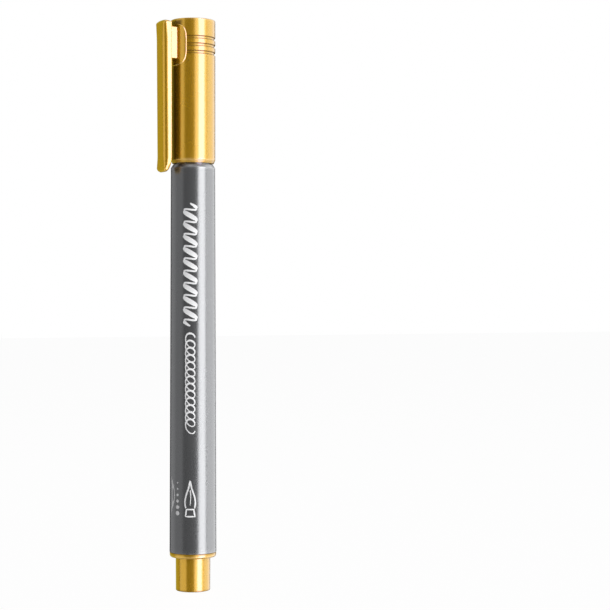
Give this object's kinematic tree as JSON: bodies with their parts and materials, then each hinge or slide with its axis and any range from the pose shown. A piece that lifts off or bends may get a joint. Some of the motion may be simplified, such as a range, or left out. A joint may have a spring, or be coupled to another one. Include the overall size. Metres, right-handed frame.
{
  "type": "brush marker",
  "caption": "Capped brush marker for lettering: round barrel with front section, fibre brush nib and ink reservoir, tail plug, and a pull-off cap with a flexing clip.",
  "frame": {"origin": "centre of the tail plug's flat end, on the marker's long axis", "axes": "+Z along the marker's axis from the tail to the cap's top, clip on the -X side, Y across the clip"},
  "size_m": [0.015, 0.0116, 0.14],
  "materials": {
    "gold_plastic": "satin metallic gold moulded plastic",
    "grey_plastic": "satin metallic grey moulded plastic",
    "inked_fibre": "bonded fibre soaked with metallic gold ink",
    "reservoir_fibre": "soft bonded fibre rod full of ink",
    "clear_film": "thin clear film",
    "soft_white_plastic": "soft white moulded plastic"
  },
  "bodies": {
    "marker_body": {"barrel": "grey_plastic", "front_section": "grey_plastic", "brush_nib": "inked_fibre", "ink_reservoir": "reservoir_fibre", "reservoir_wrap": "clear_film", "tail_plug": "gold_plastic"},
    "cap_seal": {"inner_cap": "soft_white_plastic"},
    "cap": {"cap_shell": "gold_plastic"},
    "clip_arm": {"clip": "gold_plastic"}
  },
  "joints": [
    {"name": "cap_pull", "type": "slide", "parent": "marker_body", "child": "cap_seal", "axis": [0, 0, 1], "range_m": [0, 0.04]},
    {"name": "cap_turn", "type": "hinge", "parent": "cap_seal", "child": "cap", "pos_m": [0, 0, 0.105], "axis": [0, 0, 1], "continuous": true},
    {"name": "clip_flex", "type": "hinge", "parent": "cap", "child": "clip_arm", "pos_m": [-0.0063, 0, 0.13418], "axis": [0, 1, 0], "range_deg": [-1, 3.5], "stiffness_Nm_per_rad": 2.5}
  ]
}
